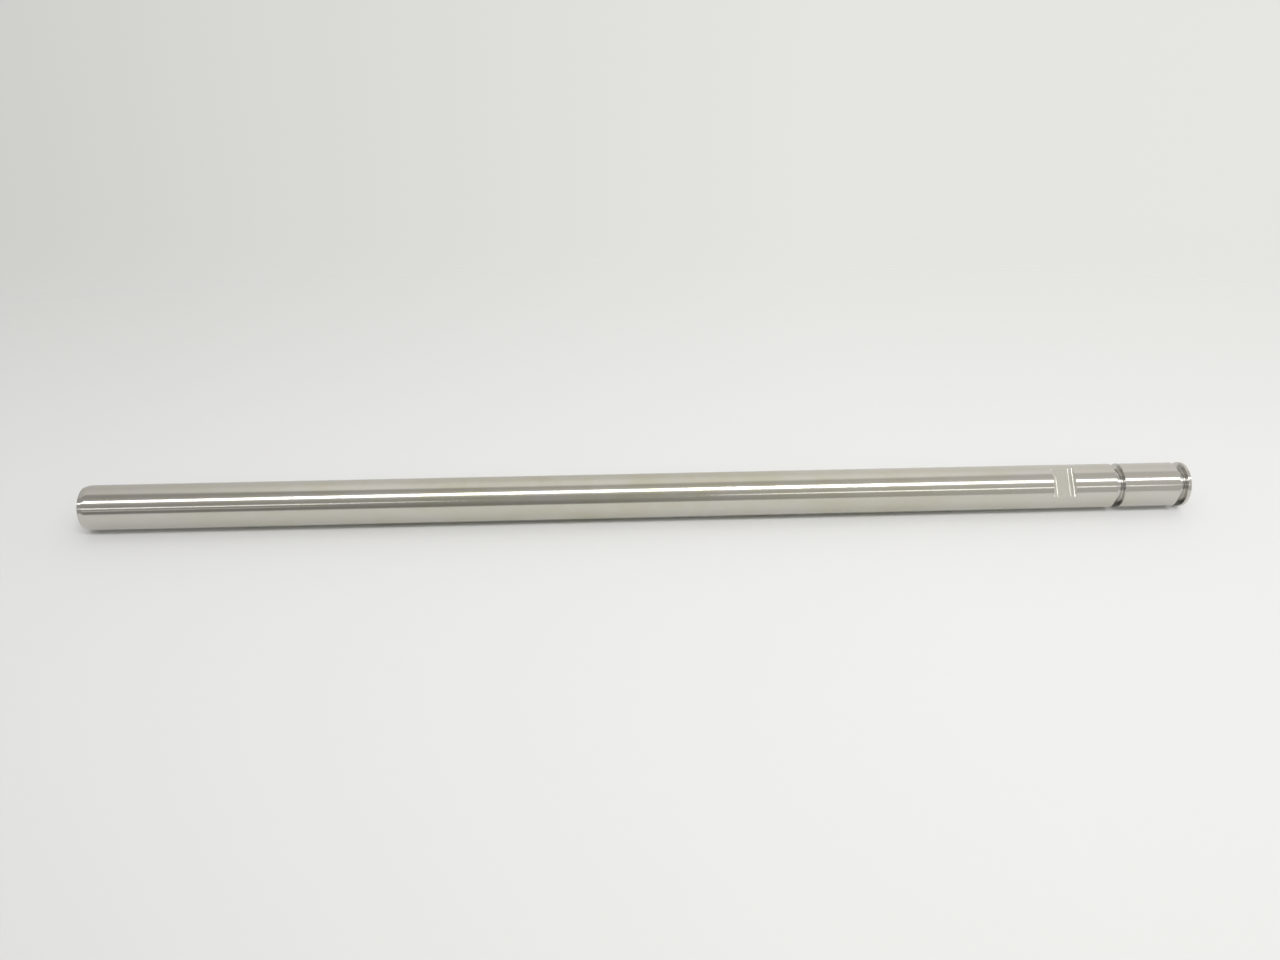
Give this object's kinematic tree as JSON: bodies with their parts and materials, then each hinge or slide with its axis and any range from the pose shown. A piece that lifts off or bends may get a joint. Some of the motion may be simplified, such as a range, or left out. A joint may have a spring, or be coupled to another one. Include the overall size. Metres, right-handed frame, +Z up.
{
  "type": "guide column",
  "caption": "Straight ground steel guide column with a tapered lead-in at one end, and spanner flats and ring grooves at the fixing end.",
  "frame": {"origin": "on the surface that the column lies on, below the middle of its axis", "axes": "+X along the column's axis, towards the grooved fixing end; +Z up as it lies"},
  "size_m": [0.6116, 0.025, 0.025],
  "materials": {
    "ground_steel": "fine ground and polished, with turned grooves and milled flats"
  },
  "bodies": {
    "root": {"guide_column": "ground_steel"}
  },
  "joints": []
}
